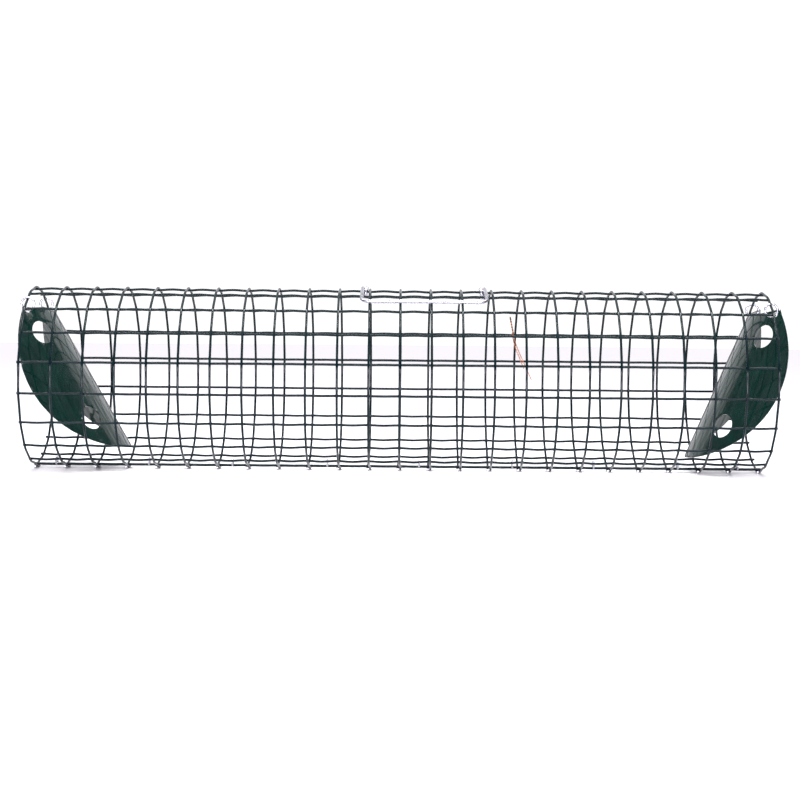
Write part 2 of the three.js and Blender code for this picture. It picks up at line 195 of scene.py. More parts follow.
class TrapFinishSettings(bpy.types.PropertyGroup):
    """Colours of the finishes."""

    coat: colour("Green Coat", (0.0008, 0.0075, 0.0098), "Plastic coat on the mesh")
    coat_thin: colour("Thin Coat", (0.0014, 0.0125, 0.0145), "The coat where it runs thin")
    paint: colour("Door Paint", (0.0007, 0.0125, 0.0094), "Gloss paint on the doors")
    paint_light: colour("Light Paint", (0.0012, 0.019, 0.0145), "Door paint where it is thin")
    zinc: colour("Zinc", (0.52, 0.52, 0.57), "Bright zinc")
    zinc_dull: colour("Dull Zinc", (0.3, 0.3, 0.34), "Weathered zinc crystals")
    copper: colour("Copper", (0.5, 0.21, 0.12), "Soft bait wire")
    tarnish: colour("Tarnish", (0.12, 0.055, 0.03), "Darkened bait wire")
    floor: colour("Floor", (0.9, 0.88, 0.915), "Pale studio floor")


class TrapStageSettings(bpy.types.PropertyGroup):
    """The floor, the lights and the camera."""

    floor_radius: length("Floor Radius", 6.0, "Half width of the floor")
    camera_across: length("Camera Across", -0.0048, "Camera from the tunnel's middle, along X")
    camera_away: length("Camera Distance", 1.4603, "Camera in front of the tunnel's axis")
    camera_up: length("Camera Height", 0.0532, "Camera above the tunnel's axis")
    camera_down: degrees("Camera Down", 2.8266, "Downward tilt")
    camera_turn: degrees("Camera Turn", -0.237, "Turn about the vertical")
    camera_roll: degrees("Camera Roll", 0.499, "Roll about the line of sight")
    lens: amount("Lens", 77.984, "Focal length, on a 36 mm sensor")
    glow: amount("Glow", 0.27, "Light from all round")
    sky: amount("Overhead", 2.9, "Strength of the soft light from above")
    front: amount("Front", 60.0, "Power of the front softbox, watts")
    side: amount("Side", 9.0, "Power of each side softbox, watts")
    strip: amount("Strip", 16.0, "Power of the strip light, watts")


SETTINGS = {
    "trap_mesh": TrapMeshSettings,
    "trap_door": TrapDoorSettings,
    "trap_fittings": TrapFittingSettings,
    "trap_finish": TrapFinishSettings,
    "trap_stage": TrapStageSettings,
}


# ------------------------------------------------------------------ shader groups
class Graph:
    """Short calls for adding nodes to one node tree."""

    def __init__(self, tree):
        self.tree = tree

    def node(self, kind, inputs=None, **attributes):
        made = self.tree.nodes.new(kind)
        for key, value in attributes.items():
            setattr(made, key, value)
        for key, value in (inputs or {}).items():
            made.inputs[key].default_value = value
        return made

    def link(self, output, socket):
        self.tree.links.new(output, socket)

    def noise(self, vector, scale, detail=3.0, roughness=0.5):
        made = self.node("ShaderNodeTexNoise", {"Scale": scale, "Detail": detail, "Roughness": roughness})
        self.link(vector, made.inputs["Vector"])
        return made.outputs["Fac"]

    def stretch(self, vector, scale):
        made = self.node("ShaderNodeMapping")
        made.inputs["Scale"].default_value = scale
        self.link(vector, made.inputs["Vector"])
        return made.outputs["Vector"]

    def ramp(self, value, low, high, start=0.0, end=1.0):
        limits = {"From Min": low, "From Max": high, "To Min": start, "To Max": end}
        made = self.node("ShaderNodeMapRange", limits)
        self.link(value, made.inputs["Value"])
        return made.outputs["Result"]

    def sum(self, first, second, share):
        made = self.node("ShaderNodeMath", operation="MULTIPLY_ADD")
        self.link(second, made.inputs[0])
        made.inputs[1].default_value = share
        self.link(first, made.inputs[2])
        return made.outputs["Value"]

    def blend(self, factor, first, second):
        made = self.node("ShaderNodeMix", data_type="RGBA")
        self.link(factor, made.inputs[0])
        colour_sockets = [s for s in made.inputs if s.type == "RGBA"]
        self.link(first, colour_sockets[0])
        self.link(second, colour_sockets[1])
        return next(s for s in made.outputs if s.type == "RGBA")


def new_group(name, inputs, outputs):
    """An empty node group with the named sockets, its graph, and its two end nodes."""
    tree = bpy.data.node_groups.new(name, "ShaderNodeTree")
    for label, kind in inputs:
        tree.interface.new_socket(name=label, in_out="INPUT", socket_type=kind)
    for label, kind in outputs:
        tree.interface.new_socket(name=label, in_out="OUTPUT", socket_type=kind)
    graph = Graph(tree)
    return graph, graph.node("NodeGroupInput"), graph.node("NodeGroupOutput")


VECTOR, COLOUR, FLOAT = "NodeSocketVector", "NodeSocketColor", "NodeSocketFloat"


def coat_group():
    """Dipped plastic or sprayed paint.

    Thick and thin patches, fine orange peel, specks of dust, and a shine that rolling has drawn into streaks.
    """
    graph, start, end = new_group(
        "coated_surface",
        [("Vector", VECTOR), ("Thick", COLOUR), ("Thin", COLOUR), ("Gloss", FLOAT)],
        [("Color", COLOUR), ("Roughness", FLOAT), ("Height", FLOAT), ("Shine", FLOAT)],
    )
    place = start.outputs["Vector"]
    sheet = graph.node("ShaderNodeTexCoord").outputs["UV"]
    drawn = graph.noise(graph.stretch(sheet, STREAKS), 1.0, 4.0, 0.65)
    graph.link(graph.ramp(drawn, 0.36, 0.62, 0.25, 1.0), end.inputs["Shine"])
    patches = graph.noise(place, PATCH_SCALE, 4.0, 0.6)
    peel = graph.noise(place, PEEL_SCALE, 2.0)
    dust = graph.noise(place, DUST_SCALE, 1.0)
    thin = graph.ramp(patches, 0.42, 0.78)
    graph.link(graph.blend(thin, start.outputs["Thick"], start.outputs["Thin"]), end.inputs["Color"])
    rough = graph.sum(start.outputs["Gloss"], graph.ramp(patches, 0.3, 0.75), 0.12)
    graph.link(graph.sum(rough, graph.ramp(dust, 0.62, 0.75), 0.25), end.inputs["Roughness"])
    graph.link(graph.sum(peel, patches, 0.8), end.inputs["Height"])
    return graph.tree


def zinc_group():
    """Bright zinc: crystals of slightly different grey, small dull spots and a fine grain."""
    graph, start, end = new_group(
        "zinc_surface",
        [("Vector", VECTOR), ("Bright", COLOUR), ("Dull", COLOUR)],
        [("Color", COLOUR), ("Roughness", FLOAT), ("Height", FLOAT)],
    )
    place = start.outputs["Vector"]
    crystals = graph.node("ShaderNodeTexVoronoi", {"Scale": CRYSTAL_SCALE})
    graph.link(place, crystals.inputs["Vector"])
    split = graph.node("ShaderNodeSeparateColor")
    graph.link(crystals.outputs["Color"], split.inputs["Color"])
    spots = graph.noise(place, 240.0, 4.0, 0.65)
    shade = graph.sum(graph.ramp(spots, 0.5, 0.8), split.outputs["Red"], 0.35)
    graph.link(graph.blend(shade, start.outputs["Bright"], start.outputs["Dull"]), end.inputs["Color"])
    graph.link(graph.ramp(shade, 0.0, 1.2, 0.24, 0.5), end.inputs["Roughness"])
    grain = graph.noise(place, 1500.0, 2.0)
    graph.link(graph.sum(grain, crystals.outputs["Distance"], 0.5), end.inputs["Height"])
    return graph.tree


def new_material(name, group, colours, plain, bump, streaked=False):
    """A Principled material fed by a surface group.

    plain holds the shader's own constant values, bump its strength and depth, and streaked gives it a shine
    that follows the sheet.
    """
    made = bpy.data.materials.new(name)
    made.use_nodes = True
    graph = Graph(made.node_tree)
    shader = made.node_tree.nodes["Principled BSDF"]
    for key, value in plain.items():
        shader.inputs[key].default_value = value
    place = graph.node("ShaderNodeTexCoord").outputs["Object"]
    surface = graph.node("ShaderNodeGroup")
    surface.node_tree = group
    for key, value in colours.items():
        surface.inputs[key].default_value = (*value, 1.0) if hasattr(value, "__len__") else value
    graph.link(place, surface.inputs["Vector"])
    graph.link(surface.outputs["Color"], shader.inputs["Base Color"])
    graph.link(surface.outputs["Roughness"], shader.inputs["Roughness"])
    if streaked:
        graph.link(surface.outputs["Shine"], shader.inputs["Coat Weight"])
    relief = graph.node("ShaderNodeBump")
    relief.inputs["Strength"].default_value = bump[0]
    relief.inputs["Distance"].default_value = bump[1]
    graph.link(surface.outputs["Height"], relief.inputs["Height"])
    graph.link(relief.outputs["Normal"], shader.inputs["Normal"])
    return made


def finish(name):
    """The named finish, made on first use."""
    if name in bpy.data.materials:
        return bpy.data.materials[name]
    tint = bpy.context.scene.trap_finish
    coat = bpy.data.node_groups.get("coated_surface") or coat_group()
    zinc = bpy.data.node_groups.get("zinc_surface") or zinc_group()
    makers = {
        "green_coat": (
            coat,
            {"Thick": tint.coat, "Thin": tint.coat_thin, "Gloss": 0.08},
            {"IOR": 1.26},
            (0.12, 0.00004),
        ),
        "door_paint": (
            coat,
            {"Thick": tint.paint, "Thin": tint.paint_light, "Gloss": 0.05},
            {"IOR": 1.3, "Coat IOR": 1.62, "Coat Roughness": 0.09},
            (0.03, 0.00004),
            True,
        ),
        "bright_zinc": (
            zinc,
            {"Bright": tint.zinc, "Dull": tint.zinc_dull},
            {"Metallic": 1.0},
            (0.12, 0.00004),
        ),
        "soft_copper": (
            zinc,
            {"Bright": tint.copper, "Dull": tint.tarnish},
            {"Metallic": 0.85},
            (0.3, 0.00004),
        ),
        "tarnished_tip": (
            zinc,
            {"Bright": tint.tarnish, "Dull": (0.01, 0.008, 0.008)},
            {"Metallic": 0.3},
            (0.4, 0.00005),
        ),
    }
    return new_material(name, *makers[name])


# ------------------------------------------------------------------ modelling helpers
def heading(points, i):
    """Direction of a wire at one of its points."""
    before = points[max(i - 1, 0)]
    after = points[min(i + 1, len(points) - 1)]
    return (after - before).normalized()


def sweep(bm, points, diameter, sides, end_material=0):
    """A round wire: one ring of edges, extruded and turned from point to point, then capped."""
    direction = heading(points, 0)
    turn = direction.to_track_quat("Z", "Y").to_matrix().to_4x4()
    ring = bmesh.ops.create_circle(
        bm, cap_ends=False, radius=diameter / 2, segments=sides, matrix=Matrix.Translation(points[0]) @ turn
    )["verts"]
    edges = list({e for v in ring for e in v.link_edges})
    caps = [list(edges)]
    for i in range(1, len(points)):
        grown = bmesh.ops.extrude_edge_only(bm, edges=edges)["geom"]
        ring = [g for g in grown if isinstance(g, bmesh.types.BMVert)]
        edges = [g for g in grown if isinstance(g, bmesh.types.BMEdge)]
        step = heading(points, i)
        turn = direction.rotation_difference(step).to_matrix().to_4x4()
        move = Matrix.Translation(points[i]) @ turn @ Matrix.Translation(-points[i - 1])
        bmesh.ops.transform(bm, matrix=move, verts=ring)
        direction = step
    caps.append(edges)
    for cap in caps:
        rim = bmesh.ops.edgeloop_fill(bm, edges=cap)["faces"]
        inner = bmesh.ops.inset_region(bm, faces=rim, thickness=diameter * 0.12, depth=diameter * 0.05)
        for face in rim + inner["faces"]:
            face.material_index = end_material
    return bm


def arc(centre, radius, start, end, steps, across, up):
    """Points on a circle, from one angle to another in degrees, in the plane of two unit vectors."""
    points = []
    for i in range(steps + 1):
        angle = math.radians(start + (end - start) * i / steps)
        points.append(centre + radius * (math.cos(angle) * across + math.sin(angle) * up))
    return points


def smooth_path(points, steps):
    """More points on a smooth curve through the given ones."""
    path = []
    ends = [2 * points[0] - points[1], *points, 2 * points[-1] - points[-2]]
    for a, b, c, d in zip(ends, ends[1:], ends[2:], ends[3:]):
        for i in range(steps):
            t = i / steps
            path.append(
                0.5
                * (
                    2 * b
                    + (c - a) * t
                    + (2 * a - 5 * b + 4 * c - d) * t**2
                    + (3 * b - a - 3 * c + d) * t**3
                )
            )
    return [*path, points[-1].copy()]


def to_piece(name, bm, body, finishes, replaces=(), sharp=50.0):
    """Turns a bmesh into a smooth-shaded piece that rides on a body. Its place stays in its mesh."""
    bmesh.ops.recalc_face_normals(bm, faces=bm.faces)
    mesh = bpy.data.meshes.new(name)
    bm.to_mesh(mesh)
    bm.free()
    mesh.shade_smooth()
    mesh.set_sharp_from_angle(angle=math.radians(sharp))
    for made in finishes:
        mesh.materials.append(finish(made))
    piece = bpy.data.objects.new(name, mesh)
    bpy.context.scene.collection.objects.link(piece)
    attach(piece, body)
    if replaces:
        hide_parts(*replaces)
    return piece


def wander(x, y, z, size):
    """A small steady unevenness that depends only on the place."""
    return size * noise.noise(Vector((x, y, z)))


# ------------------------------------------------------------------ mesh wires
def sag(sizes, angle):
    """How far the section stands out below its rolled radius, at an angle from the seam."""
    return sizes.belly * ((1 + math.cos(angle)) / 2) ** 2


def side_step(sizes, angle):
    """Sideways place of a hoop's wire: its ends pass each other at the seam, the rest stays in one plane."""
    near = max(0.0, 1.0 - min(angle, math.tau - angle) / STEP_REACH) ** 2
    return (sizes.wire / 2 + sizes.sink) * near * (-1 if angle < math.pi else 1)


def line_place(i, radius):
    """Where line wire i crosses the section, counted round from the back of the seam, and its angle."""
    sizes = bpy.context.scene.trap_mesh
    angle = math.tau * i / SQUARES_ROUND
    radius += sag(sizes, angle)
    if i in (0, SQUARES_ROUND):
        side = SEAM_SPACING / 2 if i == 0 else -SEAM_SPACING / 2
        return Vector((0, AXIS.y + side, AXIS.z - radius - sizes.seam_drop)), angle
    return Vector((0, AXIS.y + radius * math.sin(angle), AXIS.z - radius * math.cos(angle))), angle


def hoop_place(sizes, number):
    """Where a hoop stands along the tunnel."""
    return LEFT_END + number * PITCH + sizes.creep * math.sin(math.pi * number / (len(HOOPS) - 1))


def hoop_path(sizes, number):
    """One turn of wire round the tunnel, pulled in between welds, its ends side by side under the seam."""
    seam = sizes.seam_flat
    depth = sizes.radius + sizes.belly + sizes.seam_drop
    level = -(depth + sizes.tail_drop)
    flat = [
        (-sizes.tail, level),
        (sizes.tail_flat - sizes.tail, level),
        (-SEAM_SPACING / 2, -depth * 0.5 + level * 0.5),
        (SEAM_SPACING / 2, -depth),
    ]
    start = smooth_path([Vector((0, y, z)) for y, z in flat], 3)
    steps = SQUARES_ROUND * 8
    for point in start:
        point.x = side_step(sizes, 0.0)
    turn = []
    for i in range(steps + 1):
        angle = seam + (math.tau - 2 * seam) * i / steps
        phase = angle / math.tau * SQUARES_ROUND
        pull = sizes.flat * math.sin(math.pi * phase) ** 2
        uneven = wander(number * 3.1, math.cos(angle) * 1.7, math.sin(angle) * 1.7, sizes.wander)
        radius = sizes.radius + sag(sizes, angle) - pull + 0.4 * uneven * math.sin(angle / 2)
        x = uneven + side_step(sizes, angle)
        turn.append(Vector((x, radius * math.sin(angle), -radius * math.cos(angle))))
    end = [Vector((-p.x, -p.y, p.z)) for p in reversed(start)]
    points = [*start, *turn, *end]
    for point in points:
        point.x += hoop_place(sizes, number)
        point.y += AXIS.y
        point.z += AXIS.z
    return points


class TRAP_OT_hoops(bpy.types.Operator):
    """Build the hoop wires, each with its two snipped ends under the seam"""

    bl_idname = "trap.hoops"
    bl_label = "Hoop Wires"

    def execute(self, context):
        sizes = context.scene.trap_mesh
        for number, node in enumerate(HOOPS):
            bm = bmesh.new()
            sweep(bm, hoop_path(sizes, number), sizes.wire, 10, end_material=1)
            to_piece(f"{node}_coated", bm, "cage", ["green_coat", "bright_zinc"], [node])
        return {"FINISHED"}


class TRAP_OT_line_wires(bpy.types.Operator):
    """Build the straight wires that run the length of the tunnel, bowed a little between welds"""

    bl_idname = "trap.line_wires"
    bl_label = "Line Wires"

    def execute(self, context):
        sizes = context.scene.trap_mesh
        radius = sizes.radius - sizes.wire + sizes.sink
        steps = 6
        stub = sizes.wire * 0.9
        for number, node in enumerate(LINES):
            place, angle = line_place(number, radius)
            out = Vector((0, math.sin(angle), -math.cos(angle)))
            seam = number in (0, SQUARES_ROUND)
            points = [place + Vector((LEFT_END - stub, 0, 0))]
            for i in range((len(HOOPS) - 1) * steps + 1):
                x = LEFT_END + PITCH * i / steps
                bow = sizes.bow * math.sin(math.pi * i / steps) ** 2 * (0.3 if seam else 1.0)
                sway = wander(x * 30, number * 2.3, 0.5, sizes.wander) * (0.2 if seam else 1.0)
                across = Vector((0, math.cos(angle), math.sin(angle)))
                points.append(place + Vector((x, 0, 0)) + out * bow + across * sway)
            points.append(place + Vector((RIGHT_END + stub, 0, 0)))
            bm = bmesh.new()
            sweep(bm, points, sizes.wire, 10, end_material=1)
            to_piece(f"{node}_coated", bm, "cage", ["green_coat", "bright_zinc"], [node])
        return {"FINISHED"}


class TRAP_OT_welds(bpy.types.Operator):
    """Build the coating that pools where a hoop is welded to a line wire"""

    bl_idname = "trap.welds"
    bl_label = "Welds"

    def execute(self, context):
        sizes = context.scene.trap_mesh
        radius = sizes.radius - (sizes.wire - sizes.sink) / 2
        bm = bmesh.new()
        for line in range(SQUARES_ROUND + 1):
            place, angle = line_place(line, radius)
            turn = Matrix.Rotation(angle, 4, "X")
            for number in range(len(HOOPS)):
                swell = 1.0 + 0.18 * noise.noise(Vector((line * 5.3, number * 3.7, 0.4)))
                size = Matrix.Diagonal((sizes.nugget * swell, sizes.nugget * swell, sizes.wire * 0.62, 1))
                x = hoop_place(sizes, number) + side_step(sizes, angle)
                move = Matrix.Translation(place + Vector((x, 0, 0))) @ turn @ size
                bmesh.ops.create_icosphere(bm, subdivisions=1, radius=1.0, matrix=move)
        to_piece("weld_coating", bm, "cage", ["green_coat"], sharp=180.0)
        return {"FINISHED"}


# ------------------------------------------------------------------ doors
def door_blank(bm, sizes, rise):
    """The flat oval sheet with its holes: X across, Y up from the crest's top."""
    corner = math.asin(sizes.corner / sizes.half_width)
    top_steps = 12
    half = []
    for i in range(top_steps):
        share = i / top_steps
        half.append((sizes.corner * share, sizes.fall * share**2))
    oval_steps = 64
    for i in range(oval_steps + 1):
        angle = corner + (math.pi - corner) * i / oval_steps
        y = sizes.half_length * math.cos(angle) - sizes.crest_top
        half.append((sizes.half_width * math.sin(angle), y))
    rim = half + [(-x, y) for x, y in reversed(half[1:-1])]
    corners = [bm.verts.new((x, y, 0)) for x, y in rim]
    for a, b in zip(corners, corners[1:] + corners[:1]):
        bm.edges.new((a, b))
    centre = -sizes.crest_top - sizes.vent_drop
    holes = [
        (sx * sizes.vent_across, sy * sizes.vent_along + centre, sizes.vent, 48)
        for sx in (-1, 1)
        for sy in (-1, 1)
    ]
    holes += [(sx * sizes.eyelet_spread, rise, sizes.eyelet, 24) for sx in (-1, 1)]
    for x, y, across, sides in holes:
        bmesh.ops.create_circle(
            bm, cap_ends=False, radius=across / 2, segments=sides, matrix=Matrix.Translation((x, y, 0))
        )
    bmesh.ops.triangle_fill(bm, use_beauty=True, use_dissolve=False, edges=bm.edges)


def slice_blank(bm, low, high, step, axis):
    """Cuts the flat sheet into strips across one axis, so that it rolls smoothly."""
    count = int((high - low) / step)
    for i in range(1, count + 1):
        at = Vector((0, 0, 0))
        at[axis] = low + (high - low) * i / (count + 1)
        normal = Vector((0, 0, 0))
        normal[axis] = 1
        geometry = bm.verts[:] + bm.edges[:] + bm.faces[:]
        bmesh.ops.bisect_plane(bm, geom=geometry, dist=1e-7, plane_co=at, plane_no=normal)


def hanging(sizes, side, inward):
    """Direction from the middle of a door's rings to its hinge holes."""
    tilt = getattr(sizes, f"{side}_hang")
    return Vector((math.sin(tilt) * inward, 0, -math.cos(tilt)))


def build_door(context, side, lean, inward, number):
    """One door's middle surface: the blank rolled about its crest, leaned and hung on its rings."""
    sizes = context.scene.trap_door
    bm = bmesh.new()
    rise = getattr(sizes, f"{side}_rise")
    door_blank(bm, sizes, rise)
    slice_blank(bm, -sizes.half_width, sizes.half_width, 0.003, 0)
    slice_blank(bm, -sizes.half_length - sizes.crest_top, sizes.fall, 0.008, 1)
    bmesh.ops.triangulate(bm, faces=[f for f in bm.faces if len(f.verts) > 4])
    flat = bm.loops.layers.uv.new("sheet")
    for face in bm.faces:
        for loop in face.loops:
            loop[flat].uv = loop.vert.co.xy
    middle_roll = sizes.roll - sizes.sheet / 2
    for v in bm.verts:
        across, along = v.co.x, v.co.y
        angle = across / middle_roll * sizes.widen
        dent = wander(across * 18 + number * 7, along * 10, 1.5, sizes.dent)
        radius = middle_roll + dent
        v.co = Vector((radius * math.cos(angle) - sizes.roll, radius * math.sin(angle), along))
    # The door is moved so that its hinge hole comes to where the ring passes through it.
    angle = sizes.eyelet_spread / middle_roll * sizes.widen
    eyelet = Vector((middle_roll * math.cos(angle) - sizes.roll, 0, rise))
    turn = Matrix.Rotation(-lean, 4, "Y")
    if inward < 0:
        turn = Matrix.Rotation(math.pi, 4, "Z") @ turn
    hinge = Vector(joint(f"{side}_door_swing")["pos_m"])
    hole = hinge + hanging(sizes, side, inward) * context.scene.trap_fittings.ring
    hole.y = AXIS.y
    place = Matrix.Translation(hole) @ turn @ Matrix.Translation(-eyelet)
    bmesh.ops.transform(bm, matrix=place, verts=bm.verts)
    return bm


class TRAP_OT_doors(bpy.types.Operator):
    """Build the two rolled sheet doors with their vent holes"""

    bl_idname = "trap.doors"
    bl_label = "Doors"

    def execute(self, context):
        sizes = context.scene.trap_door
        for number, (side, lean, inward) in enumerate(
            (("left", sizes.left_lean, 1), ("right", sizes.right_lean, -1))
        ):
            bm = build_door(context, side, lean, inward, number)
            piece = to_piece(
                f"{side}_door_sheet", bm, f"{side}_door", ["door_paint"], [f"{side}_door"]
            )
            wall = piece.modifiers.new("sheet", "SOLIDIFY")
            wall.thickness = sizes.sheet
            wall.offset = 0
            wall.use_even_offset = True
            rim = piece.modifiers.new("rim", "BEVEL")
            rim.width = sizes.sheet * 0.28
            rim.segments = 3
            rim.limit_method = "ANGLE"
            rim.angle_limit = math.radians(60)
        return {"FINISHED"}


# ------------------------------------------------------------------ galvanised fittings
class TRAP_OT_rings(bpy.types.Operator):
    """Build the C-rings that hang the doors on the end hoops"""

    bl_idname = "trap.rings"
    bl_label = "Door Rings"

    def execute(self, context):
        sizes = context.scene.trap_fittings
        for side, inward in (("left", 1), ("right", -1)):
            hinge = Vector(joint(f"{side}_door_swing")["pos_m"])
            down = hanging(context.scene.trap_door, side, inward)
            out = Vector((down.z * inward, 0, -down.x * inward))
            mouth = math.degrees(sizes.ring_mouth_at)
            gap = math.degrees(sizes.ring_mouth)
            for where in ("front", "back"):
                node = f"{side}_{where}_hinge_ring"
                centre = Vector((hinge.x, middle(node).y, hinge.z))
                turn = Matrix.Rotation(sizes.ring_turn * (1 if where == "front" else -1) * inward, 3, down)
                path = arc(centre, sizes.ring, mouth + gap, mouth + 360 - gap, 48, down, turn @ out)
                bm = bmesh.new()
                sweep(bm, path, sizes.ring_wire, 14)
                to_piece(f"{node}_zinc", bm, f"{side}_rings", ["bright_zinc"], [node])
        return {"FINISHED"}


class TRAP_OT_clips(bpy.types.Operator):
    """Build the clips that hold the two edges of the mesh together under the tunnel"""

    bl_idname = "trap.clips"
    bl_label = "Seam Clips"

    def execute(self, context):
        sizes = context.scene.trap_fittings
        centre_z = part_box(CLIPS[0])[0].z + sizes.clip + sizes.clip_wire * 0.53
        across = Vector((0, 1, 0))
        up = Vector((0, 0, 1))
        places = [(f"{n}_zinc", middle(n).x, [n]) for n in CLIPS]
        places.append(("seam_clip_last_zinc", RIGHT_END - sizes.last_clip, []))
        for number, (name, x, replaced) in enumerate(places):
            path = arc(Vector((x, AXIS.y, centre_z)), sizes.clip, 96, 444, 40, across, up)
            skew = wander(number * 4.7, 0.3, 0.6, 0.0012)
            for i, point in enumerate(path):
                point.x += skew * (i / (len(path) - 1) - 0.5)
            bm = bmesh.new()
            sweep(bm, path, sizes.clip_wire, 12)
            to_piece(name, bm, "cage", ["bright_zinc"], replaced)
        return {"FINISHED"}


def handle_path(sizes, mesh):
    """The bail: an eye round the top wire, a leg over the next wire, a rounded corner and the grip."""
    low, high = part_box("carry_handle")
    cad_half = sizes.handle_wire / 2 * 1.026
    left = low.x + cad_half + mesh.creep
    right = high.x - cad_half + mesh.creep
    pivot = Vector(joint("handle_swing")["pos_m"])
    rest = HOOP_RADIUS + mesh.wire / 2 + sizes.handle_wire / 2 + 0.0002
    grip_y = low.y + cad_half - sizes.grip_out - AXIS.y
    grip = Vector((0, grip_y + AXIS.y, AXIS.z + math.sqrt(rest**2 - grip_y**2)))
    wire, _ = line_place(SQUARES_ROUND // 2 + 1, LINE_RADIUS_CAD)
    over = wire + (wire - AXIS).normalized() * (mesh.wire * 0.55 + sizes.handle_wire / 2 + REST_GAP)
    points = []
    leave = 12.0
    turns = 40
    for i in range(turns + 1):
        share = i / turns
        angle = math.radians(leave - 360 * (1 - share))
        x = left + sizes.eye_pitch * (1 - share)
        y = pivot.y - sizes.eye * math.sin(angle)
        points.append(Vector((x, y, pivot.z + sizes.eye * math.cos(angle))))
    way = (grip - over).normalized()
    start = grip - way * sizes.handle_corner
    leg = [points[-2], points[-1], Vector((left, over.y, over.z)), Vector((left, start.y, start.z))]
    points += smooth_path(leg, 8)[9:-1]
    centre = Vector((left + sizes.handle_corner, start.y, start.z))
    points += arc(centre, sizes.handle_corner, 0, 90, 10, Vector((-1, 0, 0)), way)
    mirrored = [Vector((left + right - p.x, p.y, p.z)) for p in reversed(points)]
    grip_steps = 14
    bend = []
    for i in range(1, grip_steps):
        t = i / grip_steps
        middle_point = points[-1].lerp(mirrored[0], t)
        middle_point.z += 0.0003 * math.sin(math.pi * t)
        bend.append(middle_point)
    return [*points, *bend, *mirrored]


class TRAP_OT_handle(bpy.types.Operator):
    """Build the bail handle with its coiled eyes"""

    bl_idname = "trap.handle"
    bl_label = "Handle"

    def execute(self, context):
        sizes = context.scene.trap_fittings
        bm = bmesh.new()
        sweep(bm, handle_path(sizes, context.scene.trap_mesh), sizes.handle_wire, 16)
        to_piece("carry_handle_zinc", bm, "handle", ["bright_zinc"], ["carry_handle"])
        return {"FINISHED"}


# ------------------------------------------------------------------ bait wire
def bait_paths(sizes, mesh):
    """The doubled, twisted stem above the tie, the coil round the line wire and the two loose tails."""
    low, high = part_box("bait_wire")
    line, _ = line_place(BAIT_LINE, LINE_RADIUS_CAD)
    coil = mesh.wire / 2 + sizes.bait_wire * 0.62
    x = low.x + coil + 0.0018
    tie = Vector((x, line.y - coil, line.z))
    half = sizes.bait_wire * 0.54
    stem_top = high.z - sizes.bait_wire / 2
    strands = []
    for sign in (0, 1):
        points = []
        steps = 40
        for i in range(steps + 1):
            t = i / steps
            z = line.z + coil + (stem_top - line.z - coil) * t
            angle = math.tau * (z - line.z) / sizes.bait_twist + sign * math.pi
            centre = Vector((x + 0.0006 - 0.003 * t, tie.y - 0.0006 - 0.0012 * t, z))
            points.append(centre + Vector((half * math.cos(angle), half * math.sin(angle), 0)))
        strands.append(points)
    loops = []
    for i in range(49):
        angle = math.radians(-90 + 720 * i / 48)
        away = Vector((0, -math.cos(angle), math.sin(angle))) * coil
        loops.append(Vector((x - 0.0009 + 0.0018 * i / 48, line.y, line.z)) + away)
    tails = []
    for reach, start in ((Vector((0.010, 0, -0.029)), 0.0), (Vector((0.016, 0, -0.039)), 0.0009)):
        anchor = tie + Vector((start, -0.0004, 0))
        points = [
            anchor + Vector((0, 0, 0.002)),
            anchor + Vector((0.0003, -0.0006, -0.002)),
            anchor + reach * 0.35 + Vector((-0.0012, -0.0022, 0)),
            anchor + reach * 0.7 + Vector((-0.0006, -0.0034, 0)),
            anchor + reach + Vector((0, -0.003, 0)),
        ]
        tails.append(smooth_path(points, 8))
    return strands, loops, tails


class TRAP_OT_bait_wire(bpy.types.Operator):
    """Build the soft bait wire twisted round the back wall"""

    bl_idname = "trap.bait_wire"
    bl_label = "Bait Wire"

    def execute(self, context):
        sizes = context.scene.trap_fittings
        strands, loops, tails = bait_paths(sizes, context.scene.trap_mesh)
        bm = bmesh.new()
        for path in (*strands, loops, *tails):
            sweep(bm, path, sizes.bait_wire, 8)
        dark_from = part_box("bait_wire")[1].z - DARK_TIP
        for face in bm.faces:
            if face.calc_center_median().z > dark_from:
                face.material_index = 1
        to_piece(
            "bait_wire_twisted", bm, "cage", ["soft_copper", "tarnished_tip"], ["bait_wire"]
        )
        return {"FINISHED"}


# ------------------------------------------------------------------ floor, light and camera
def softbox(name, place, target, width, height, power, tint):
    data = bpy.data.lights.new(name, "AREA")
    data.shape = "RECTANGLE"
    data.size = width
    data.size_y = height
    data.energy = power
    data.color = tint
    lamp = bpy.data.objects.new(name, data)
    lamp.location = place
    lamp.rotation_mode = "QUATERNION"
    lamp.rotation_quaternion = (Vector(target) - Vector(place)).to_track_quat("-Z", "Y")
    lamp.visible_camera = False
    bpy.context.scene.collection.objects.link(lamp)


def overhead(strength):
    """Soft even light from above that keeps the whole floor white and leaves only a faint shadow."""
    data = bpy.data.lights.new("overhead", "SUN")
    data.energy = strength
    data.angle = math.radians(SUN_ANGLE)
    data.color = (1.0, 0.985, 1.0)
    lamp = bpy.data.objects.new("overhead", data)
    lamp.rotation_euler = (math.radians(8), 0, 0)
    bpy.context.scene.collection.objects.link(lamp)


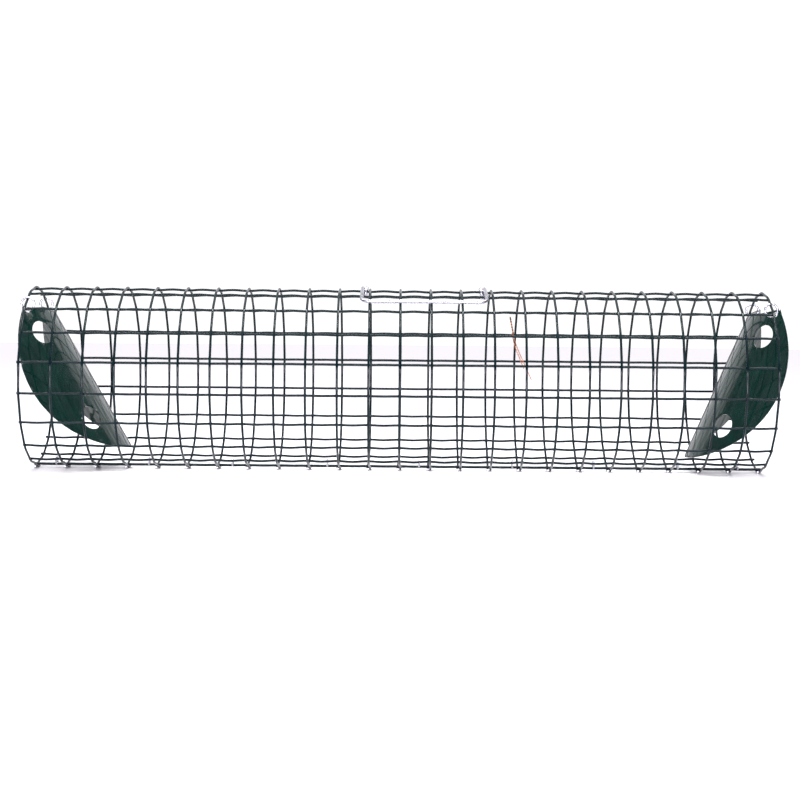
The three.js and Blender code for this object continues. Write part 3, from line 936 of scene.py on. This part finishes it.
def white_surroundings(glow):
    """White behind the floor's edge for the eye, and a softer even light for the object."""
    world = bpy.data.worlds.new("studio")
    bpy.context.scene.world = world
    world.use_nodes = True
    graph = Graph(world.node_tree)
    nodes = world.node_tree.nodes
    nodes.clear()
    seen = graph.node("ShaderNodeBackground", {"Color": (1, 1, 1, 1), "Strength": 1.15})
    lit = graph.node("ShaderNodeBackground", {"Color": (0.97, 0.96, 1.0, 1), "Strength": glow})
    mix = graph.node("ShaderNodeMixShader")
    graph.link(graph.node("ShaderNodeLightPath").outputs["Is Camera Ray"], mix.inputs[0])
    graph.link(lit.outputs[0], mix.inputs[1])
    graph.link(seen.outputs[0], mix.inputs[2])
    graph.link(mix.outputs[0], graph.node("ShaderNodeOutputWorld").inputs["Surface"])


class TRAP_OT_stage(bpy.types.Operator):
    """Lay the pale floor, hang the lights and set up the camera"""

    bl_idname = "trap.stage"
    bl_label = "Stage"

    def execute(self, context):
        scene = context.scene
        sizes = scene.trap_stage
        bm = bmesh.new()
        bmesh.ops.create_circle(bm, cap_ends=True, radius=sizes.floor_radius, segments=96)
        wires = scene.trap_mesh
        foot = wires.radius + wires.belly + wires.seam_drop + wires.tail_drop + wires.wire / 2
        bmesh.ops.translate(bm, vec=(0, 0, AXIS.z - foot - FLOOR_GAP), verts=bm.verts)
        mesh = bpy.data.meshes.new("studio_floor")
        bm.to_mesh(mesh)
        bm.free()
        pale = bpy.data.materials.new("pale_floor")
        pale.use_nodes = True
        shader = pale.node_tree.nodes["Principled BSDF"]
        shader.inputs["Base Color"].default_value = (*scene.trap_finish.floor, 1)
        shader.inputs["Roughness"].default_value = 0.6
        shader.inputs["Specular IOR Level"].default_value = 0.2
        mesh.materials.append(pale)
        floor = bpy.data.objects.new("studio_floor", mesh)
        scene.collection.objects.link(floor)
        white_surroundings(sizes.glow)
        overhead(sizes.sky)
        softbox("front", (0, -2.2, 0.13), (0, 0, 0.08), 3.0, 0.34, sizes.front, (0.92, 0.9, 1.0))
        for side in (-1, 1):
            place = (1.1 * side, 1.9, 0.9)
            target = (-0.2 * side, 0, 0.1)
            softbox("side", place, target, 2.4, 1.4, sizes.side, (0.96, 0.96, 1.0))
        softbox("strip", (0, 0, 1.0), (0, 0, 0.08), 1.6, 0.06, sizes.strip, (1.0, 1.0, 1.0))
        lens = bpy.data.cameras.new("view")
        lens.lens = sizes.lens
        lens.sensor_width = 36.0
        lens.clip_start = 0.05
        lens.clip_end = 50.0
        camera = bpy.data.objects.new("view", lens)
        centre_x = (LEFT_END + RIGHT_END) / 2
        away = Vector((sizes.camera_across, -sizes.camera_away, sizes.camera_up))
        place = Vector((centre_x, AXIS.y, AXIS.z)) + away
        camera.matrix_world = (
            Matrix.Translation(place)
            @ Matrix.Rotation(sizes.camera_turn, 4, "Z")
            @ Matrix.Rotation(math.pi / 2 - sizes.camera_down, 4, "X")
            @ Matrix.Rotation(sizes.camera_roll, 4, "Z")
        )
        scene.collection.objects.link(camera)
        scene.camera = camera
        scene.view_settings.view_transform = "Standard"
        return {"FINISHED"}


# ------------------------------------------------------------------ panel and registration
BUILDERS = (
    TRAP_OT_stage,
    TRAP_OT_hoops,
    TRAP_OT_line_wires,
    TRAP_OT_welds,
    TRAP_OT_doors,
    TRAP_OT_rings,
    TRAP_OT_clips,
    TRAP_OT_handle,
    TRAP_OT_bait_wire,
)


class TRAP_PT_panel(bpy.types.Panel):
    """Lists the pieces of the trap and the sizes they are built from"""

    bl_idname = "TRAP_PT_panel"
    bl_label = "Tunnel Live Trap"
    bl_space_type = "VIEW_3D"
    bl_region_type = "UI"
    bl_category = "Trap"

    def draw(self, context):
        layout = self.layout
        for builder in BUILDERS:
            layout.operator(builder.bl_idname)
        for name, group in SETTINGS.items():
            box = layout.box()
            box.label(text=group.__doc__)
            for key in group.__annotations__:
                box.prop(getattr(context.scene, name), key)


def register():
    for made in (*SETTINGS.values(), *BUILDERS, TRAP_PT_panel):
        bpy.utils.register_class(made)
    for name, group in SETTINGS.items():
        setattr(bpy.types.Scene, name, bpy.props.PointerProperty(type=group))


def unregister():
    for name in SETTINGS:
        delattr(bpy.types.Scene, name)
    for made in reversed((*SETTINGS.values(), *BUILDERS, TRAP_PT_panel)):
        bpy.utils.unregister_class(made)


def main():
    register()
    for builder in BUILDERS:
        group, name = builder.bl_idname.split(".")
        getattr(getattr(bpy.ops, group), name)()


if __name__ == "__main__":
    main()
